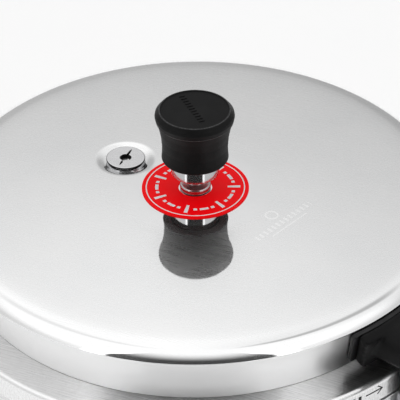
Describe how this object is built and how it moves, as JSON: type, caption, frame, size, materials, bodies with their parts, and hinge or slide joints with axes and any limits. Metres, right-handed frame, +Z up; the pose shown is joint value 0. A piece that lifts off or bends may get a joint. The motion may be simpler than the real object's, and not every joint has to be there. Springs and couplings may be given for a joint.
{
  "type": "stovetop pressure cooker",
  "caption": "Polished aluminium stovetop pressure cooker: wide pot, outer lid on a bayonet, weight valve on a central vent, and long black handles.",
  "frame": {"origin": "centre of the pot's flat underside, on the hob", "axes": "+Z up along the pot's axis; the long handles point to +X and -Y, towards the front right"},
  "size_m": [0.3973, 0.3139, 0.1929],
  "materials": {
    "polished_aluminium": "mirror polished",
    "black_bakelite": "moulded, half matte",
    "black_painted_steel": "satin black",
    "stainless_steel": "turned",
    "brass": "turned",
    "grey_rubber": "matte",
    "red_label": "printed",
    "fusible_alloy": "cast"
  },
  "bodies": {
    "pot": {"pot_body": "polished_aluminium", "body_handle_bracket": "stainless_steel", "body_handle": "black_bakelite", "body_handle_screw": "stainless_steel", "body_bracket_rivet_left": "stainless_steel", "body_bracket_rivet_right": "stainless_steel", "helper_handle_bracket": "stainless_steel", "helper_handle": "black_bakelite", "helper_handle_screw": "stainless_steel", "helper_bracket_rivet_left": "stainless_steel", "helper_bracket_rivet_right": "stainless_steel"},
    "seal": {"sealing_ring": "grey_rubber"},
    "lid": {"lid_shell": "polished_aluminium", "lid_handle_bracket": "black_painted_steel", "lid_handle": "black_bakelite", "lid_handle_screw": "stainless_steel", "lid_bracket_rivet_left": "stainless_steel", "lid_bracket_rivet_right": "stainless_steel", "vent_label": "red_label", "vent_tube": "brass", "vent_washer": "grey_rubber", "vent_nut": "brass", "safety_plug_body": "stainless_steel", "safety_plug_core": "fusible_alloy", "safety_plug_washer": "grey_rubber", "safety_plug_nut": "brass"},
    "clip": {"weight_clip": "stainless_steel"},
    "weight": {"weight_body": "stainless_steel", "weight_needle": "stainless_steel", "weight_cap": "black_bakelite"}
  },
  "joints": [
    {"name": "lid_lift", "type": "slide", "parent": "pot", "child": "seal", "axis": [0, 0, 1], "range_m": [0, 0.12]},
    {"name": "lid_turn", "type": "hinge", "parent": "seal", "child": "lid", "pos_m": [0, 0, 0.14], "axis": [0, 0, 1], "range_deg": [0, 14]},
    {"name": "weight_lift", "type": "slide", "parent": "lid", "child": "clip", "axis": [0, 0, 1], "range_m": [0, 0.04]},
    {"name": "weight_spin", "type": "hinge", "parent": "clip", "child": "weight", "pos_m": [0, 0, 0.17], "axis": [0, 0, 1], "continuous": true}
  ]
}
